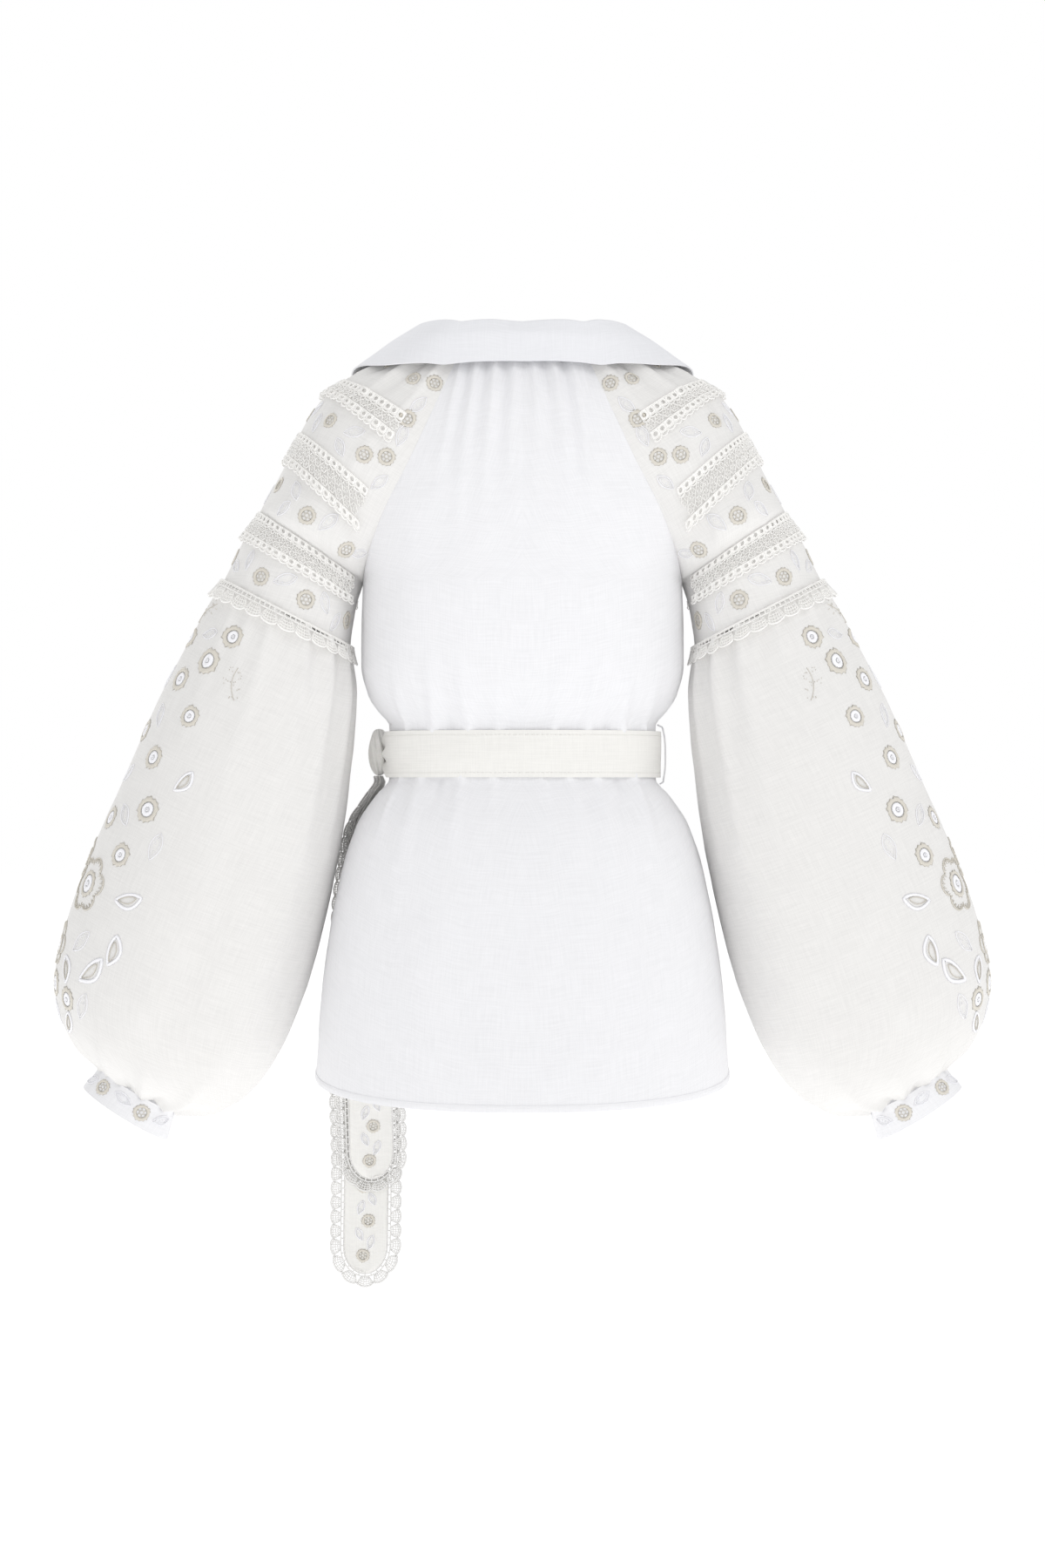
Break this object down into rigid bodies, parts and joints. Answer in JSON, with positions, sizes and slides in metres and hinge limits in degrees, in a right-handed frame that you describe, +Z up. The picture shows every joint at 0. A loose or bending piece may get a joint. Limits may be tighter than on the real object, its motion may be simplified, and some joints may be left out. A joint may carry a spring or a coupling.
{
  "type": "wrap blouse",
  "caption": "White linen wrap blouse with a wide turned-down collar, embroidered raglan balloon sleeves with lace tiers, cuffs, and a lace-edged sash tied at the side.",
  "frame": {"origin": "centre of the neck opening at the height of the back neck seam", "axes": "+Z up, -Y towards the wearer's front, +X towards the wearer's left side"},
  "size_m": [0.858, 0.2913, 0.9061],
  "materials": {
    "white_linen": "plain weave linen, matt",
    "collar_linen": "pressed plain weave linen, matt",
    "ivory_voile": "fine open linen voile with embroidery",
    "ivory_lace": "cotton crochet lace",
    "sash_linen": "ivory linen, matt"
  },
  "bodies": {
    "root": {"back_left": "white_linen", "back_right": "white_linen", "front_left_under": "white_linen", "front_right_over": "white_linen", "collar": "collar_linen", "sleeve_upper_left": "ivory_voile", "sleeve_upper_right": "ivory_voile", "sleeve_lower_left": "ivory_voile", "sleeve_lower_right": "ivory_voile", "cuff_left": "white_linen", "cuff_right": "white_linen", "lace_shoulder_left": "ivory_lace", "lace_shoulder_right": "ivory_lace", "lace_upper_arm_left": "ivory_lace", "lace_upper_arm_right": "ivory_lace", "lace_lower_arm_left": "ivory_lace", "lace_lower_arm_right": "ivory_lace", "lace_flounce_back_left": "ivory_lace", "lace_flounce_front_left": "ivory_lace", "lace_flounce_back_right": "ivory_lace", "lace_flounce_front_right": "ivory_lace", "belt": "sash_linen", "belt_loop": "white_linen", "sash_knot": "sash_linen", "sash_end_long": "sash_linen", "sash_end_short": "sash_linen", "sash_end_long_lace": "ivory_lace", "sash_end_short_lace": "ivory_lace"}
  },
  "joints": []
}
